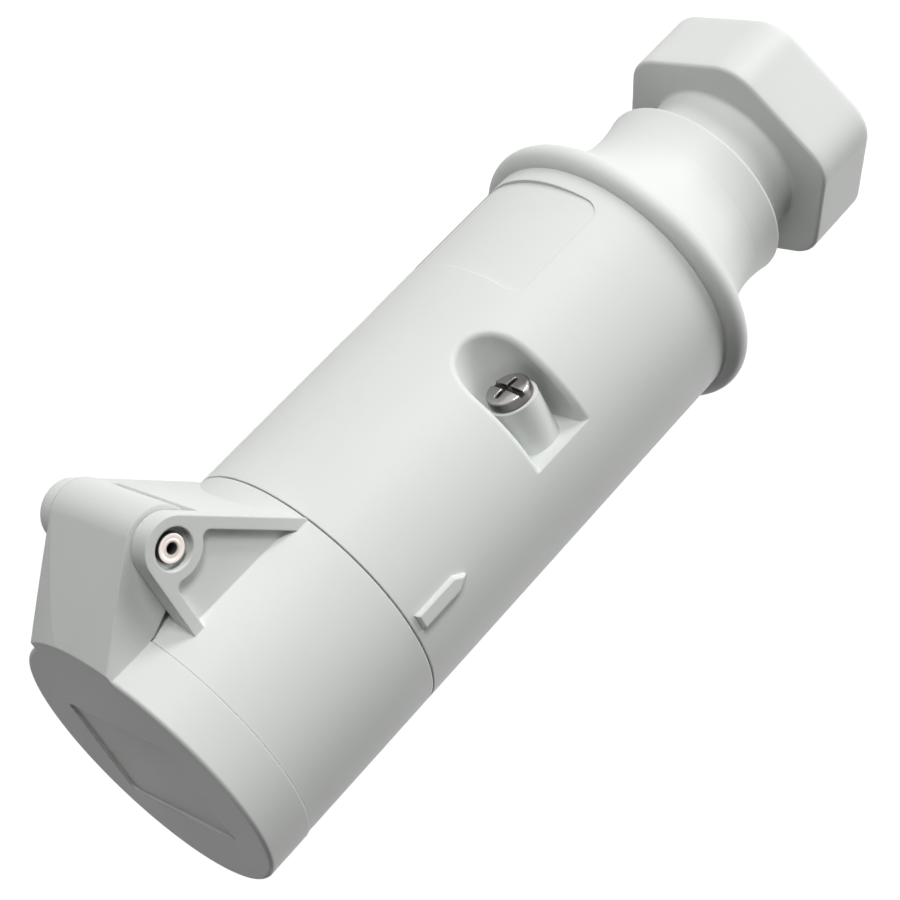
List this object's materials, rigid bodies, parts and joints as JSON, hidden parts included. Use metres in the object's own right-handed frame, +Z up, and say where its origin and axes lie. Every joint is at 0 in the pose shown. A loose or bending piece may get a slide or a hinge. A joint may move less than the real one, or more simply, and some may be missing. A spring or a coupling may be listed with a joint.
{
  "type": "industrial power coupler",
  "caption": "Grey cable coupler with a round barrel, a sprung hinged lid over the mouth, screwed housings and a six-sided gland nut.",
  "frame": {"origin": "centre of the mouth, in the plane of the collar that the lid closes on", "axes": "+X along the coupler and out of the mouth, +Z up as it lies on its side"},
  "size_m": [0.1714, 0.0717, 0.057],
  "materials": {
    "grey_plastic": "satin",
    "insert_plastic": "matte",
    "pale_plastic": "matte",
    "black_rubber": "matte",
    "screw_steel": "bright",
    "pin_steel": "satin",
    "spring_steel": "satin",
    "brass": "satin"
  },
  "bodies": {
    "coupler": {"front_housing": "grey_plastic", "rear_housing": "grey_plastic", "inner_frame": "grey_plastic", "gland_neck": "grey_plastic", "housing_gasket": "black_rubber", "hinge_pin": "pin_steel", "housing_screw_left": "screw_steel", "housing_screw_right": "screw_steel", "threaded_insert_left": "brass", "threaded_insert_right": "brass", "contact_insert": "insert_plastic", "contact_retainer": "insert_plastic", "retainer_screws": "screw_steel", "contact_line": "brass", "contact_neutral": "brass", "contact_earth": "brass", "terminal_screw_line": "brass", "terminal_screw_neutral": "brass", "terminal_screw_earth": "brass", "sealing_sleeve": "black_rubber"},
    "lid": {"lid": "grey_plastic", "lid_gasket": "black_rubber", "lid_spring": "spring_steel"},
    "pressure_ring": {"pressure_ring": "pale_plastic"},
    "gland_nut": {"gland_nut": "grey_plastic"}
  },
  "joints": [
    {"name": "lid_hinge", "type": "hinge", "parent": "coupler", "child": "lid", "pos_m": [-0.0146, -0.0329, -0.01278], "axis": [0, 0.3622, -0.9321], "range_deg": [0, 110], "stiffness_Nm_per_rad": 0.02, "springref_deg": -45.84},
    {"name": "gland_push", "type": "slide", "parent": "coupler", "child": "pressure_ring", "axis": [1, 0, 0], "range_m": [0, 0.0094]},
    {"name": "gland_turn", "type": "hinge", "parent": "pressure_ring", "child": "gland_nut", "pos_m": [-0.1435, 0, 0], "axis": [1, 0, 0], "range_deg": [0, 1125]}
  ],
  "couplings": [
    {"joint": "gland_push", "follows": "gland_turn", "m_per_rad": 0.00047746}
  ]
}
